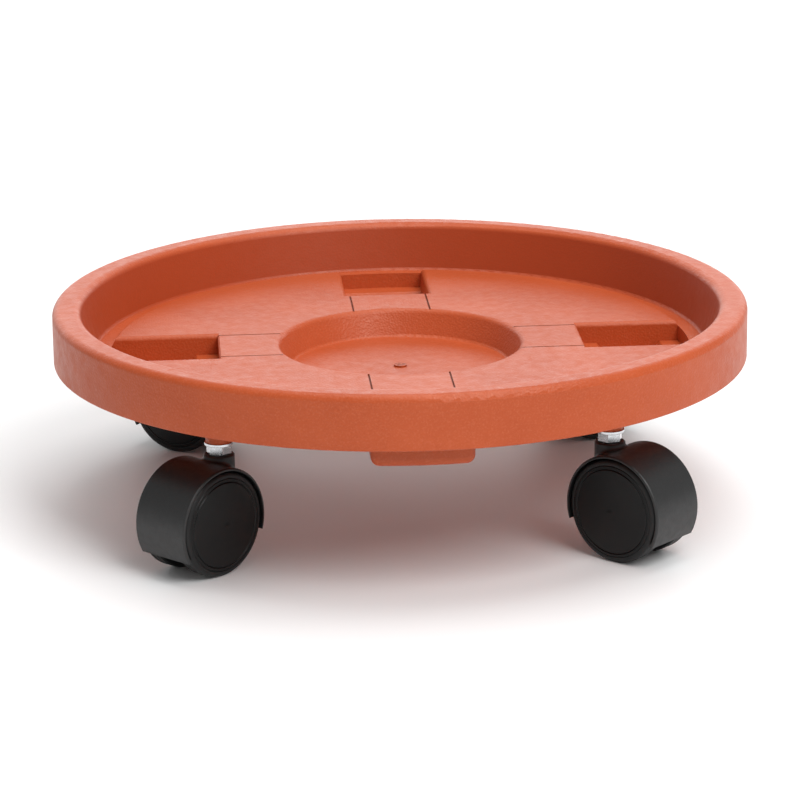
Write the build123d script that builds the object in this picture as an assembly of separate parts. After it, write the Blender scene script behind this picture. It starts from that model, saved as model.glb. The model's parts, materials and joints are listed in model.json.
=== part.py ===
from build123d import *
import os
from math import asin, cos, hypot, radians, sin, sqrt, tan

# A round plant pot caddy: one moulded plastic tray on four swivelling twin-wheel casters.
# Millimetres, +Z up. The origin is on the floor, on the tray's axis. The front is -Y.

# ---------------------------------------------------------------- driving dimensions
# Tray, seen from above
RIM_R = 160.0            # outer radius of the rim
LIP_WIDTH = 12.5         # width of the rim's flat top
WALL = 2.8               # moulded wall thickness
GUTTER_OUT_R = 141.5     # where the sloping inner wall meets the gutter
GUTTER_IN_R = 134.0      # where the gutter meets the raised plate
PLATE_R = 132.6          # outer edge of the plate's top face
RECESS_R = 58.0          # upper edge of the central recess
RECESS_FLOOR_R = 51.0    # edge of the recess's floor

# Tray, heights above the floor
RIM_TOP = 95.5
SKIRT_BOTTOM = 70.8
PLATE_TOP = 75.5
GUTTER_TOP = 73.0
RECESS_FLOOR = 63.3

# Four pockets in the plate, one on each half axis
POCKET_IN_R = 84.0       # inner end of a pocket
POCKET_WIDTH = 40.0      # between its side walls
POCKET_EDGE = 1.9        # rounding along the top of the side walls
END_EDGE = 0.7           # bevel along the top of the inner end wall
POCKET_DRAFT = 2.0       # degrees, on the pocket's side walls
SHELF_DEPTH = 9.5        # flat shelves at both ends, below the plate's top
TROUGH_DEPTH = 17.0      # round trough between the shelves, below the plate's top
SHELF_SHARE = 0.2        # length of each shelf, as a share of the pocket's length
BLOCK_BOTTOM = 56.3      # underside of the block that holds a pocket
BLOCK_WALL = 2.6
GROOVE_Y = 18.25         # fine grooves in the plate, on both sides of each half axis

# Caster seats
STEM_R = 122.6           # the stems' distance from the tray's axis
BOSS_END = 56.0          # lower end of the boss that takes a stem
BOSS_D = 11.4
BOSS_TOP_D = 15.0
THREAD_D = 8.0
THREAD_LENGTH = 15.0

# Caster: a small twin-wheel swivel caster
WHEEL_D = 47.0
TRAIL = 12.6             # horizontal distance from the swivel axis to the axle
CASTER_WIDTH = 33.0      # over the domes of both wheel caps
WHEEL_GAP = 13.2         # between the inner sides of the two wheels
HOOD_CLEARANCE = 0.7
HOOD_WALL = 1.2
NECK_D = 13.8
NECK_TOP = 50.6
PIN_D = 8.0              # plain part of the stem, in the housing's socket
AXLE_D = 6.0
RUNNING_CLEARANCE = 0.05  # radial, for the pin, the axle and the snap ridges

# Where each caster stands (degrees from +X), and where it trails at rest
CASTERS = {
    "front_right": (-45.0, -45.0),
    "front_left": (-135.0, -136.0),
    "rear_left": (135.0, 148.0),
    "rear_right": (45.0, 25.0),
}


# ---------------------------------------------------------------- small helpers
def profile_face(points):
    """An upright flat face through the given (x, z) points."""
    return (Plane.XZ * make_face(Polyline(*points, close=True))).face()


def turned(points):
    """A solid of revolution about Z from (radius, height) points."""
    return revolve(profile_face(points), Axis.Z)


def round_corners(face, corners):
    """Rounds the face's corners nearest to the given (radius, height): fillet radius pairs."""
    for (r, z), size in corners.items():
        nearest = min(face.vertices(), key=lambda v: (v.X - r) ** 2 + (v.Z - z) ** 2)
        face = face.fillet_2d(size, [nearest])
    return face


def disc(radius, low, high):
    """An upright cylinder between two heights."""
    return Pos(0, 0, low) * Cylinder(radius, high - low, align=(Align.CENTER, Align.CENTER, Align.MIN))


def block(x, y, z):
    """A box from (low, high) pairs along each axis."""
    size = [high - low for low, high in (x, y, z)]
    middle = [(high + low) / 2 for low, high in (x, y, z)]
    return Pos(*middle) * Box(*size)


def around(solid, angles):
    """Copies of a solid turned about Z."""
    return [Rot(0, 0, angle) * solid for angle in angles]


# ---------------------------------------------------------------- tray
QUARTERS = (0, 90, 180, 270)
CHANNEL_TOP = RIM_TOP - WALL
PLATE_UNDER = PLATE_TOP - WALL


def tray_shell():
    """The thin revolved body: skirt, hollow rim, sloping wall, gutter, plate and recess."""
    lip_in = RIM_R - LIP_WIDTH
    outline = [
        (0, RECESS_FLOOR),
        (RECESS_FLOOR_R, RECESS_FLOOR),
        (RECESS_R - 1.5, PLATE_TOP),
        (PLATE_R, PLATE_TOP),
        (GUTTER_IN_R, GUTTER_TOP),
        (GUTTER_OUT_R, GUTTER_TOP),
        (lip_in, RIM_TOP),
        (RIM_R, RIM_TOP),
        (RIM_R, SKIRT_BOTTOM),
        (RIM_R - WALL, SKIRT_BOTTOM),
        (RIM_R - WALL, CHANNEL_TOP),
        (lip_in + WALL, CHANNEL_TOP),
        (GUTTER_OUT_R + WALL, GUTTER_TOP - WALL),
        (GUTTER_IN_R - WALL, GUTTER_TOP - WALL),
        (GUTTER_IN_R - WALL - 1, PLATE_UNDER),
        (RECESS_R + WALL - 1, PLATE_UNDER),
        (RECESS_FLOOR_R + WALL, RECESS_FLOOR - WALL),
        (0, RECESS_FLOOR - WALL),
    ]
    corners = {
        (RECESS_FLOOR_R, RECESS_FLOOR): 1.6,
        (RECESS_R - 1.5, PLATE_TOP): 3.0,
        (PLATE_R, PLATE_TOP): 0.8,
        (GUTTER_OUT_R, GUTTER_TOP): 1.5,
        (lip_in, RIM_TOP): 3.8,
        (RIM_R, RIM_TOP): 3.4,
        (RIM_R, SKIRT_BOTTOM): 0.8,
        (RIM_R - WALL, SKIRT_BOTTOM): 0.5,
        (RECESS_FLOOR_R + WALL, RECESS_FLOOR - WALL): 2.5,
    }
    return revolve(round_corners(profile_face(outline), corners), Axis.Z)


def pocket_length():
    """A pocket seen from its side, along +X: end wall, shelf, round trough, shelf."""
    length = GUTTER_IN_R - POCKET_IN_R
    shelf = PLATE_TOP - SHELF_DEPTH
    trough = PLATE_TOP - TROUGH_DEPTH
    start = POCKET_IN_R + SHELF_SHARE * length
    end = GUTTER_IN_R - SHELF_SHARE * length
    inner = POCKET_IN_R - END_EDGE
    edges = Polyline((start, shelf), (POCKET_IN_R, shelf), (POCKET_IN_R, PLATE_TOP - END_EDGE),
                     (inner, PLATE_TOP), (inner, RIM_TOP), (RIM_R, RIM_TOP), (RIM_R, shelf), (end, shelf))
    edges += ThreePointArc((end, shelf), ((start + end) / 2, trough), (start, shelf))
    face = (Plane.XZ * make_face(edges)).face()
    face = round_corners(face, {(start, shelf): 0.8, (end, shelf): 0.8})
    return extrude(face, POCKET_WIDTH, both=True)


def pocket_section():
    """A pocket seen along its length: drafted side walls with well rounded upper edges."""
    half, top, low = POCKET_WIDTH / 2, PLATE_TOP, PLATE_TOP - TROUGH_DEPTH - 1
    draft = (top - low) * tan(radians(POCKET_DRAFT))
    outer, below = half + POCKET_EDGE, top - POCKET_EDGE
    bulge = 0.34 * POCKET_EDGE
    edges = Polyline((outer, top), (outer, RIM_TOP), (-outer, RIM_TOP), (-outer, top))
    edges += ThreePointArc((-outer, top), (-half - bulge, top - bulge), (-half, below))
    edges += Polyline((-half, below), (draft - half, low), (half - draft, low), (half, below))
    edges += ThreePointArc((half, below), (half + bulge, top - bulge), (outer, top))
    return extrude(Plane.YZ * make_face(edges), RIM_R)


def pocket_cut():
    """One pocket, from its inner end wall to the gutter."""
    return pocket_section() & pocket_length() & disc(GUTTER_IN_R, 0, RIM_TOP)


def pocket_block():
    """The solid below the plate that a pocket is cut into, with rounded lower edges."""
    width = POCKET_WIDTH + 2 * BLOCK_WALL
    outer = GUTTER_IN_R + BLOCK_WALL
    body = block((POCKET_IN_R - BLOCK_WALL, outer + 5), (-width / 2, width / 2),
                 (BLOCK_BOTTOM, PLATE_UNDER + 0.5))
    body &= disc(outer, 0, RIM_TOP)
    upright = [e for e in body.edges() if e.bounding_box().size.Z > 10 and e.center().X > POCKET_IN_R]
    body = fillet(upright, 3.0)
    lower = [e for e in body.edges() if e.bounding_box().max.Z < BLOCK_BOTTOM + 0.1]
    return fillet(lower, 4.2)


def caster_boss():
    """A round boss for a stem, at the origin, with four gussets up to the plate."""
    top = PLATE_UNDER + 0.5
    boss = turned([(0, BOSS_END), (BOSS_D / 2, BOSS_END), (BOSS_TOP_D / 2, top), (0, top)])
    low = BOSS_END + 6
    reach = BOSS_TOP_D / 2 + 6
    gusset = extrude(profile_face([(0, low), (BOSS_D / 2, low), (reach, top), (0, top)]), 1, both=True)
    for angle in QUARTERS:
        boss += Rot(0, 0, angle) * gusset
    return boss


def underside_ribs():
    """Rings and spokes that stiffen the plate, and webs inside the hollow rim."""
    rib_low, thick = 67.0, 2.0
    ring = disc(108, rib_low, PLATE_UNDER + 0.5) - disc(108 - thick, 0, RIM_TOP)
    spoke = block((RECESS_R, GUTTER_IN_R), (-thick / 2, thick / 2), (rib_low, PLATE_UNDER + 0.5))
    lip_in = RIM_R - LIP_WIDTH
    web = profile_face([(GUTTER_OUT_R + 2, SKIRT_BOTTOM + 4), (RIM_R - 1, SKIRT_BOTTOM + 9),
                        (RIM_R - 1, CHANNEL_TOP + 1), (lip_in + 1, CHANNEL_TOP + 1)])
    web = extrude(web, 0.8, both=True)
    spokes = around(spoke, [45 * i + 22.5 for i in range(8)] + [45 + 90 * i for i in range(4)])
    return [ring] + spokes + around(web, [15 * i + 7.5 for i in range(24)])


def tray():
    body = tray_shell()
    seats = [Rot(0, 0, place) * Pos(STEM_R, 0, 0) for place, _ in CASTERS.values()]
    pockets = around(pocket_cut(), QUARTERS)
    body = body + around(pocket_block(), QUARTERS) - pockets
    body = body + underside_ribs() - pockets
    body = body + [seat * caster_boss() for seat in seats]
    inside = disc(THREAD_D / 2, BOSS_END - 1, BOSS_END + THREAD_LENGTH + 1)
    body = body - [seat * inside for seat in seats]
    # two fine grooves run inwards from each pocket to the recess
    for y in (-GROOVE_Y, GROOVE_Y):
        groove = block((RECESS_R - 3, POCKET_IN_R + 0.5), (y - 0.35, y + 0.35),
                       (PLATE_TOP - 0.5, PLATE_TOP + 1))
        body = body - around(groove, QUARTERS)
    # a small round gate mark stands in the middle of the recess
    return body + disc(3.0, RECESS_FLOOR - 1, RECESS_FLOOR + 0.7)


# ---------------------------------------------------------------- caster pieces
# Each is drawn with its swivel axis on Z, the axle parallel to Y and the trail towards +X.
WHEEL_R = WHEEL_D / 2
AXLE = (TRAIL, 0, WHEEL_R)
HOOD_IN_R = WHEEL_R + HOOD_CLEARANCE
HOOD_R = HOOD_IN_R + HOOD_WALL
HOOD_HALF = 15.0         # half the hood's width
HOOD_BACK = -30.0        # the hood's trailing edge, degrees above the horizontal through the axle
HOOD_FRONT = 198.0       # the hood's leading edge, on the neck's side
SOCKET_HALF = WHEEL_GAP / 2 - 0.4
WEB_HALF = 4.0
AXLE_BOSS_R = 6.2
FLANGE_D = 12.8
FLANGE_LOW = BOSS_END - 1.2
HEX_ACROSS = 9.8
HEX_LOW = NECK_TOP + 0.4
PIN_LOW = 26.2
SOCKET_FLOOR = 25.2
RING_Z = (29.2, 30.4)    # the retaining ring's lower and upper face
RING_D = 9.6
RING_GROOVE_D = 7.0


def on_axle(solid):
    """Moves a solid drawn about Z at the origin so that its axis is the axle."""
    return Pos(*AXLE) * Rot(-90, 0, 0) * solid


def hood_point(radius, degrees):
    return AXLE[0] + radius * cos(radians(degrees)), AXLE[2] + radius * sin(radians(degrees))


def hood_arc(radius, start=HOOD_BACK, end=HOOD_FRONT):
    middle = (start + end) / 2
    return ThreePointArc(hood_point(radius, start), hood_point(radius, middle), hood_point(radius, end))


def mantle():
    """The curved cover over both wheels."""
    edges = hood_arc(HOOD_R)
    edges += Line(hood_point(HOOD_R, HOOD_FRONT), hood_point(HOOD_IN_R, HOOD_FRONT))
    edges += hood_arc(HOOD_IN_R)
    edges += Line(hood_point(HOOD_IN_R, HOOD_BACK), hood_point(HOOD_R, HOOD_BACK))
    return extrude(Plane.XZ * make_face(edges), HOOD_HALF, both=True)


def middle_web():
    """The wall between the wheels, from the mantle down to just below the axle."""
    radius = HOOD_IN_R + 0.7
    drop = 7.0
    edges = hood_arc(radius)
    edges += Polyline(hood_point(radius, HOOD_FRONT), (AXLE[0] - drop, AXLE[2] - drop),
                      (AXLE[0] + drop, AXLE[2] - drop), hood_point(radius, HOOD_BACK))
    return extrude(Plane.XZ * make_face(edges), WEB_HALF, both=True)


def housing():
    """The caster's one-piece body: mantle, web, neck with its socket, and axle boss."""
    over_wheels = on_axle(Cylinder(HOOD_IN_R, 2 * HOOD_HALF))
    neck = disc(NECK_D / 2, WHEEL_R, NECK_TOP)
    neck = chamfer(neck.edges().group_by(Axis.Z)[-1], 0.6)
    body = mantle() + (neck - over_wheels)

    def on_hood(edge):
        middle = edge @ 0.5
        return abs(hypot(middle.X - AXLE[0], middle.Z - AXLE[2]) - HOOD_R) < 0.01

    def on_neck(edge):
        middle = edge @ 0.5
        return abs(hypot(middle.X, middle.Y) - NECK_D / 2) < 0.01

    def on_side(edge):
        return abs(abs((edge @ 0.5).Y) - HOOD_HALF) < 0.01

    body = fillet([e for e in body.edges() if on_hood(e) and on_neck(e)], 1.5)
    body = fillet([e for e in body.edges() if on_hood(e) and on_side(e)], 0.9)
    body += middle_web()
    body += disc(SOCKET_HALF, SOCKET_FLOOR - 2.5, NECK_TOP - 4)
    body += on_axle(Cylinder(AXLE_BOSS_R, 2 * SOCKET_HALF))
    socket = disc(PIN_D / 2 + RUNNING_CLEARANCE, SOCKET_FLOOR, NECK_TOP + 1)
    ring_room = disc(RING_D / 2 + 0.4, RING_Z[0] - 0.2, RING_Z[1] + 0.2)
    body = body - socket - ring_room
    return body - on_axle(Cylinder(AXLE_D / 2, 2 * HOOD_HALF))


def stem():
    """A threaded stem with a flange, a hexagon and a grooved plain pin."""
    thread_top = BOSS_END + THREAD_LENGTH
    body = turned([
        (0, PIN_LOW), (PIN_D / 2 - 1.2, PIN_LOW), (PIN_D / 2, PIN_LOW + 1.2),
        (PIN_D / 2, RING_Z[0] - 0.05), (RING_GROOVE_D / 2 - 0.05, RING_Z[0] - 0.05),
        (RING_GROOVE_D / 2 - 0.05, RING_Z[1] + 0.05), (PIN_D / 2, RING_Z[1] + 0.05),
        (PIN_D / 2, FLANGE_LOW), (FLANGE_D / 2 - 0.2, FLANGE_LOW), (FLANGE_D / 2, FLANGE_LOW + 0.2),
        (FLANGE_D / 2, BOSS_END), (THREAD_D / 2 - 0.9, BOSS_END),
        (THREAD_D / 2 - 0.9, BOSS_END + 1.4), (THREAD_D / 2, BOSS_END + 2.2),
        (THREAD_D / 2, thread_top - 1.0), (THREAD_D / 2 - 1.0, thread_top), (0, thread_top)])
    hexagon = Pos(0, 0, HEX_LOW) * extrude(
        RegularPolygon(HEX_ACROSS / 2, 6, major_radius=False), FLANGE_LOW - HEX_LOW)
    return body + hexagon


def retaining_ring():
    """A split spring ring in the pin's groove, which keeps the housing on the stem."""
    ring = disc(RING_D / 2, *RING_Z) - disc(RING_GROOVE_D / 2, 0, RIM_TOP)
    return ring - block((0, RING_D), (-0.9, 0.9), (0, RIM_TOP))


AXLE_HALF = 13.0
SNAP = (11.2, 12.4)      # the groove near each end of the axle, measured from its middle


def axle():
    """A plain steel pin with a snap groove near each end."""
    half = AXLE_HALF
    depth = AXLE_D / 2 - 0.3
    side = [(AXLE_D / 2, 0), (AXLE_D / 2, SNAP[0]), (depth, SNAP[0]), (depth, SNAP[1]),
            (AXLE_D / 2, SNAP[1]), (AXLE_D / 2, half - 0.5), (AXLE_D / 2 - 0.5, half)]
    lower = [(r, -s) for r, s in reversed(side[1:])]
    return on_axle(turned([(0, -half)] + lower + side + [(0, half)]))


WHEEL_IN = WHEEL_GAP / 2     # distance from the caster's middle to a wheel's inner side
WHEEL_OUT = 14.8             # and to the outer side of its rim
CAP_SEAT = 13.7              # and to the face that the cap sits on
CAP_R = 20.9
RIM_IN_R = 20.5              # inside of the wheel's hollow rim
RIM_EDGE = 2.0               # rounding from the tread to the wheel's face
PEG_R = 14.0
PEG_ANGLES = (45, 135, 225, 315)


def wheel():
    """One moulded wheel: a ribbed tread, a web with six ribs, and a hub that snaps on the axle."""
    bore = AXLE_D / 2 + RUNNING_CLEARANCE
    ridge = AXLE_D / 2 - 0.3 + RUNNING_CLEARANCE
    ridge_in, ridge_out = SNAP[0] + 0.1, SNAP[1] - 0.1
    tread = [(WHEEL_R, WHEEL_IN + 0.6)]
    for line in (9.0, 11.4):
        tread += [(WHEEL_R, line - 0.35), (WHEEL_R - 0.35, line), (WHEEL_R, line + 0.35)]
    outline = [(bore, WHEEL_IN), (5.4, WHEEL_IN), (5.4, CAP_SEAT - 1.7), (RIM_IN_R, CAP_SEAT - 1.7),
               (RIM_IN_R, WHEEL_IN), (WHEEL_R - 0.6, WHEEL_IN)]
    outline += tread
    outline += [(WHEEL_R, WHEEL_OUT), (CAP_R + 0.1, WHEEL_OUT), (CAP_R + 0.1, CAP_SEAT), (bore, CAP_SEAT),
                (bore, ridge_out), (ridge, ridge_out), (ridge, ridge_in), (bore, ridge_in)]
    section = round_corners(profile_face(outline), {(WHEEL_R, WHEEL_OUT): RIM_EDGE})
    body = revolve(section, Axis.Z)
    rib = block((5.0, RIM_IN_R + 0.5), (-0.6, 0.6), (WHEEL_IN + 1.5, CAP_SEAT - 1.5))
    body = body + around(rib, [60 * i for i in range(6)])
    hole = Pos(PEG_R, 0, 0) * disc(1.6, 0, CASTER_WIDTH)
    return body - around(hole, PEG_ANGLES)


def wheel_cap():
    """The domed disc that closes a wheel's outer side, with a ring line and four pegs."""
    half = CASTER_WIDTH / 2
    edge = WHEEL_OUT + 0.15
    dome_r = (CAP_R**2 + (half - edge) ** 2) / (2 * (half - edge))

    def dome(radius):
        return half - dome_r + dome_r * cos(asin(radius / dome_r))

    line_r, line_depth = CAP_R - 1.7, 0.35
    arc = ThreePointArc((0, half), (line_r / 2, dome(line_r / 2)), (line_r - 0.4, dome(line_r - 0.4)))
    rest = Polyline((line_r - 0.4, dome(line_r - 0.4)), (line_r, dome(line_r) - line_depth),
                    (line_r + 0.4, dome(line_r + 0.4)), (CAP_R - 0.3, edge), (CAP_R, edge - 0.3),
                    (CAP_R, CAP_SEAT), (0, CAP_SEAT), (0, half))
    body = revolve(Plane.XZ * make_face(arc + rest), Axis.Z)
    peg = Pos(PEG_R, 0, 0) * disc(1.5, CAP_SEAT - 2.6, CAP_SEAT + 0.2)
    return body + around(peg, PEG_ANGLES)


# ---------------------------------------------------------------- placing and writing
def caster_pieces():
    """Every piece of one caster, by its name."""
    pieces = {"stem": stem(), "retaining_ring": retaining_ring(), "housing": housing(), "axle": axle()}
    for side, turn in (("left", 0), ("right", 180)):
        half_turn = Pos(*AXLE) * Rot(0, 0, turn) * Pos(*[-c for c in AXLE])
        pieces["wheel_" + side] = half_turn * on_axle(wheel())
        pieces["cap_" + side] = half_turn * on_axle(wheel_cap())
    return pieces


os.makedirs("parts", exist_ok=True)
nodes = {"tray": tray()}
one_caster = caster_pieces()
for corner, (place, trail) in CASTERS.items():
    seat = Rot(0, 0, place) * Pos(STEM_R, 0, 0) * Rot(0, 0, trail - place)
    for name, solid in one_caster.items():
        nodes[f"{corner}_{name}"] = seat * solid

for name, solid in nodes.items():
    export_step(solid, f"parts/{name}.step")
    print(f"{name}: {len(solid.solids())} solid, {solid.volume:.0f} mm3")
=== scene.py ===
import json
import math

import bpy
from mathutils import Matrix, Vector


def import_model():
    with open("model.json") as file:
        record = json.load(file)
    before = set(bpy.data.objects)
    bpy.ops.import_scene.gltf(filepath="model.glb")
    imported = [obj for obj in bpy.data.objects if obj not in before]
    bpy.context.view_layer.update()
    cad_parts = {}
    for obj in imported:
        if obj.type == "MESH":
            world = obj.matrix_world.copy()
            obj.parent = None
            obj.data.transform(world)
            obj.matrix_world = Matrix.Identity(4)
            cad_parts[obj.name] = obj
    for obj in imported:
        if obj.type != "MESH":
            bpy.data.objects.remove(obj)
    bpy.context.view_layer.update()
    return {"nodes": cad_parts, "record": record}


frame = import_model()

MM = 0.001

# places on the tray that its finish and its painted shade follow, in metres
WALL_R = (0.1395, 0.1415, 0.1475, 0.1490)    # the sloping wall's smooth band, which also carries painted shade, fades in and out
WALL_TOP = (0.0925, 0.0945)
GROOVE_Y = 0.01825                           # the moulded grooves' distance from each half axis
GROOVE_HALF = (0.0003, 0.0006)               # half its width, and where its painted shade ends
GROOVE_RUN = (0.0540, 0.0550, 0.0840, 0.0850)
SCAR_R = (0.0022, 0.0042)                    # the gate scar in the middle of the recess
nodes = frame["nodes"]


# ------------------------------------------------------------------ node helpers
class Shader:
    """A material's node tree, with short calls to add and join nodes."""

    def __init__(self, name):
        self.material = bpy.data.materials.new(name)
        self.material.use_nodes = True
        self.tree = self.material.node_tree
        self.surface = self.tree.nodes["Principled BSDF"]
        self.place = self.tree.nodes.new("ShaderNodeTexCoord").outputs["Object"]

    def node(self, kind, **values):
        made = self.tree.nodes.new(kind)
        for key, value in values.items():
            if key in made.inputs:
                made.inputs[key].default_value = value
            else:
                setattr(made, key, value)
        return made

    def join(self, source, target):
        self.tree.links.new(source, target)

    def axes(self):
        """The object's own x, y and z at each point."""
        made = self.node("ShaderNodeSeparateXYZ")
        self.join(self.place, made.inputs["Vector"])
        return made.outputs["X"], made.outputs["Y"], made.outputs["Z"]

    def groove(self, beside, along):
        """1 inside the two moulded grooves that run between a pocket and the recess, else 0."""
        away = self.math("ABSOLUTE", self.math("SUBTRACT", beside, GROOVE_Y))
        inside = self.remap(away, *GROOVE_HALF, 1.0, 0.0)
        return self.math("MULTIPLY", inside, self.band(along, GROOVE_RUN))

    def band(self, value, edges):
        """1 between the two middle edges, fading to 0 at the outer two."""
        first, full, last, end = edges
        return self.math("MULTIPLY", self.remap(value, first, full, 0.0, 1.0),
                         self.remap(value, end, last, 0.0, 1.0))

    def noise(self, size, detail=2.0, roughness=0.5):
        """Soft noise whose features are about `size` metres across."""
        made = self.node("ShaderNodeTexNoise", Scale=1.0 / size, Detail=detail, Roughness=roughness)
        self.join(self.place, made.inputs["Vector"])
        return made.outputs["Fac"]

    def pebbles(self, size):
        """Rounded cells about `size` metres across."""
        made = self.node("ShaderNodeTexVoronoi", Scale=1.0 / size, feature="SMOOTH_F1", Smoothness=0.6)
        self.join(self.place, made.inputs["Vector"])
        return made.outputs["Distance"]

    def remap(self, value, low, high, to_low, to_high):
        made = self.node("ShaderNodeMapRange", **{"From Min": low, "From Max": high,
                                                  "To Min": to_low, "To Max": to_high})
        self.join(value, made.inputs["Value"])
        return made.outputs["Result"]

    def math(self, operation, a, b=0.0):
        made = self.node("ShaderNodeMath", operation=operation)
        for socket, value in zip(made.inputs, (a, b)):
            if isinstance(value, (int, float)):
                socket.default_value = value
            else:
                self.join(value, socket)
        return made.outputs["Value"]

    def blend(self, factor, first, second):
        """Colour from first to second as factor goes from 0 to 1."""
        made = self.node("ShaderNodeMix", data_type="RGBA")
        self.join(factor, made.inputs["Factor"])
        for socket, colour in ((made.inputs[6], first), (made.inputs[7], second)):
            if isinstance(colour, tuple):
                socket.default_value = (*colour, 1.0)
            else:
                self.join(colour, socket)
        return made.outputs[2]

    def bump(self, height, distance, strength=1.0, below=None):
        made = self.node("ShaderNodeBump", Distance=distance, Strength=strength)
        self.join(height, made.inputs["Height"])
        if below:
            self.join(below, made.inputs["Normal"])
        return made.outputs["Normal"]


# ------------------------------------------------------------------ materials
def terracotta():
    """Satin polypropylene: pebble grain on the skirt, plate and recess, smoother on the sloping wall."""
    s = Shader("terracotta_plastic")
    x, y, z = s.axes()
    across, along = s.math("ABSOLUTE", x), s.math("ABSOLUTE", y)
    radius = s.math("SQRT", s.math("ADD", s.math("MULTIPLY", x, x), s.math("MULTIPLY", y, y)))
    below_lip = s.remap(z, *WALL_TOP, 1.0, 0.0)
    wall = s.math("MULTIPLY", s.band(radius, WALL_R), below_lip)
    grain_share = s.remap(wall, 0.0, 1.0, 1.0, 0.25)

    tone = s.noise(0.045, detail=4.0)
    colour = s.blend(s.remap(tone, 0.35, 0.65, 0.0, 1.0), (0.445, 0.070, 0.017), (0.495, 0.084, 0.023))
    speck = s.remap(s.noise(0.0009, detail=2.0, roughness=0.6), 0.50, 0.75, 0.0, 0.35)
    colour = s.blend(s.math("MULTIPLY", speck, grain_share), colour, (0.58, 0.150, 0.070))
    # painted shade: the sloping wall inside the dish is coloured darker than the rest of the tray
    colour = s.blend(s.math("MULTIPLY", wall, 0.85), colour, (0.355, 0.045, 0.009))
    # painted shade keeps the moulded grooves beside each pocket dark
    groove = s.math("MAXIMUM", s.groove(across, along), s.groove(along, across))
    colour = s.blend(s.math("MULTIPLY", groove, 0.9), colour, (0.14, 0.024, 0.008))
    # a darker scar around the moulding gate in the middle of the recess
    scar = s.math("MULTIPLY", s.remap(radius, *SCAR_R, 1.0, 0.0),
                  s.remap(s.noise(0.0016, detail=3.0), 0.40, 0.60, 0.1, 0.8))
    colour = s.blend(scar, colour, (0.17, 0.028, 0.009))
    s.join(colour, s.surface.inputs["Base Color"])

    gloss = s.remap(s.noise(0.005, detail=4.0), 0.3, 0.7, 0.36, 0.50)
    s.join(gloss, s.surface.inputs["Roughness"])
    dull = s.math("MAXIMUM", groove, scar)
    s.join(s.remap(dull, 0.0, 1.0, 0.42, 0.03), s.surface.inputs["Specular IOR Level"])
    s.surface.inputs["Specular Tint"].default_value = (1.0, 0.84, 0.74, 1.0)
    pebble = s.math("MULTIPLY", s.pebbles(0.0010), grain_share)
    grain = s.bump(pebble, 0.00014, 0.85)
    s.join(s.bump(s.noise(0.018, detail=3.0), 0.0004, 0.3, below=grain), s.surface.inputs["Normal"])
    return s.material


def black_plastic(name, base, rough, shine, grain_mm, depth_mm):
    """Black moulded nylon with a fine grain and slightly uneven gloss."""
    s = Shader(name)
    low = tuple(c * 0.8 for c in base)
    high = tuple(c * 1.25 for c in base)
    s.join(s.blend(s.noise(0.008, detail=4.0), low, high), s.surface.inputs["Base Color"])
    s.join(s.remap(s.noise(0.003, detail=4.0), 0.3, 0.7, rough - 0.05, rough + 0.06),
           s.surface.inputs["Roughness"])
    s.surface.inputs["Specular IOR Level"].default_value = shine
    s.join(s.bump(s.pebbles(grain_mm * MM), depth_mm * MM, 0.5), s.surface.inputs["Normal"])
    return s.material


def metal(name, base, rough, grain_mm):
    """Plated or turned steel with fine spangle in its gloss."""
    s = Shader(name)
    s.surface.inputs["Metallic"].default_value = 1.0
    s.join(s.blend(s.noise(grain_mm * MM, detail=4.0), tuple(c * 0.85 for c in base), base),
           s.surface.inputs["Base Color"])
    s.join(s.remap(s.noise(grain_mm * MM, detail=3.0), 0.3, 0.7, rough - 0.06, rough + 0.08),
           s.surface.inputs["Roughness"])
    return s.material


finish = {
    "terracotta_plastic": terracotta(),
    # the nylon's lighter base is a painted sheen for the hood and the cap's darker base is painted shade
    # on its faces; their gloss and grain settings differ as materials
    "black_nylon": black_plastic("black_nylon", (0.0110, 0.0110, 0.0112), 0.47, 0.60, 0.8, 0.06),
    "black_wheel": black_plastic("black_wheel", (0.0050, 0.0050, 0.0050), 0.50, 0.40, 0.6, 0.04),
    "black_cap": black_plastic("black_cap", (0.0020, 0.0020, 0.0020), 0.40, 0.30, 0.7, 0.03),
    "zinc_steel": metal("zinc_steel", (0.72, 0.73, 0.75), 0.22, 1.5),
    "spring_steel": metal("spring_steel", (0.35, 0.35, 0.36), 0.35, 1.0),
    "axle_steel": metal("axle_steel", (0.55, 0.55, 0.56), 0.30, 1.0),
}


# ------------------------------------------------------------------ CAD nodes: finish and shading
def shade(piece, crease_degrees=32.0):
    """Smooth shading that keeps flat faces flat and real edges crisp."""
    mesh = piece.data
    mesh.polygons.foreach_set("use_smooth", [True] * len(mesh.polygons))
    mesh.update()
    weighted = piece.modifiers.new("face_weighted_normals", "WEIGHTED_NORMAL")
    weighted.weight = 100
    weighted.keep_sharp = True
    mesh.set_sharp_from_angle(angle=math.radians(crease_degrees))


slot_of = {p["node"]: p["material_slot"] for p in frame["record"]["subparts"]}
for name, piece in nodes.items():
    piece.data.materials.clear()
    piece.data.materials.append(finish[slot_of[name]])
    shade(piece)


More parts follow.
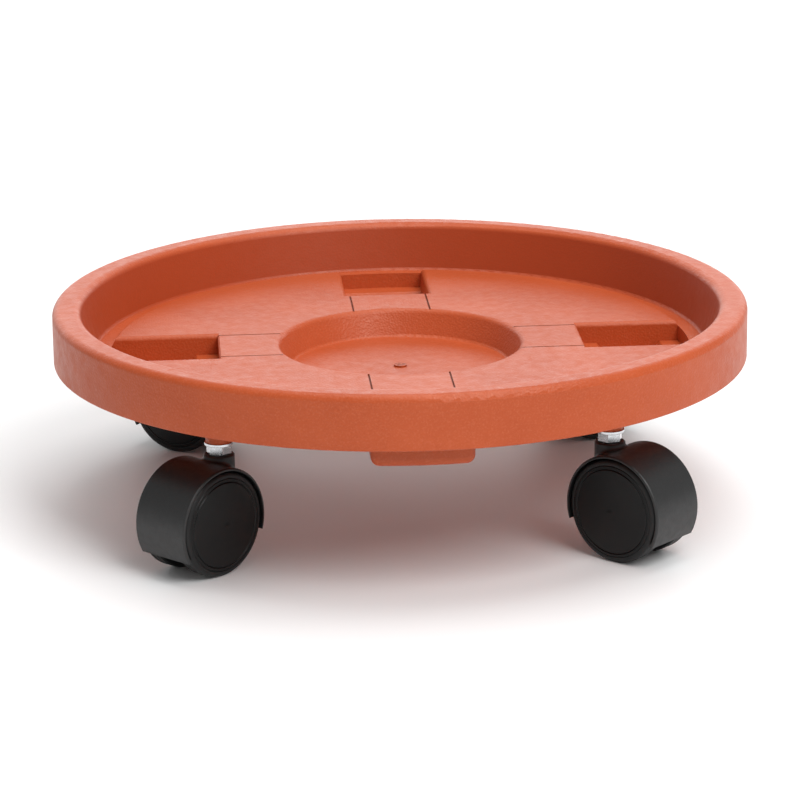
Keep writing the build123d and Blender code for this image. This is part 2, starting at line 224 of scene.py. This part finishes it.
# ------------------------------------------------------------------ floor, light and camera
def floor():
    """A pale seamless floor."""
    bpy.ops.mesh.primitive_circle_add(vertices=96, radius=6.0, fill_type="NGON", location=(0, 0, 0))
    piece = bpy.context.object
    piece.name = "floor"
    s = Shader("pale_floor")
    s.surface.inputs["Base Color"].default_value = (0.90, 0.90, 0.90, 1.0)
    s.surface.inputs["Roughness"].default_value = 0.6
    piece.data.materials.append(s.material)


def area_light(name, place, target, size, watts):
    data = bpy.data.lights.new(name, "AREA")
    data.shape = "RECTANGLE"
    data.size, data.size_y = size
    data.energy = watts
    lamp = bpy.data.objects.new(name, data)
    bpy.context.scene.collection.objects.link(lamp)
    lamp.location = place
    lamp.rotation_euler = (Vector(target) - Vector(place)).to_track_quat("-Z", "Y").to_euler()


def world(strength):
    """An even white room."""
    room = bpy.data.worlds.new("studio")
    bpy.context.scene.world = room
    room.use_nodes = True
    background = room.node_tree.nodes["Background"]
    background.inputs["Color"].default_value = (1.0, 1.0, 1.0, 1.0)
    background.inputs["Strength"].default_value = strength


def camera():
    """Looks down on the front of the caddy from a little to its left, through a long lens."""
    turn, rise, roll = math.radians(-4.0), math.radians(16.4), math.radians(-0.7)
    distance = 1.689
    target = Vector((-0.0004, 0.0, 0.0467))
    back = Vector((math.sin(turn) * math.cos(rise), -math.cos(turn) * math.cos(rise), math.sin(rise)))
    data = bpy.data.cameras.new("camera")
    data.sensor_width = 36.0
    data.lens = 163.3
    data.clip_start, data.clip_end = 0.05, 50.0
    holder = bpy.data.objects.new("camera", data)
    bpy.context.scene.collection.objects.link(holder)
    holder.location = target + back * distance
    look = (-back).to_track_quat("-Z", "Y")
    holder.rotation_euler = (look.to_matrix() @ Matrix.Rotation(roll, 3, "Z")).to_euler()
    bpy.context.scene.camera = holder


floor()
world(0.38)
area_light("key", (1.0, -1.5, 2.0), (0, 0, 0.05), (1.5, 1.5), 46.0)
area_light("top", (0.2, 0.2, 2.4), (0, 0, 0.05), (1.6, 1.6), 30.0)
area_light("back", (0.0, 3.2, 1.1), (0, 0, 0.05), (5.0, 1.9), 50.0)
camera()
bpy.context.scene.view_settings.view_transform = "Standard"
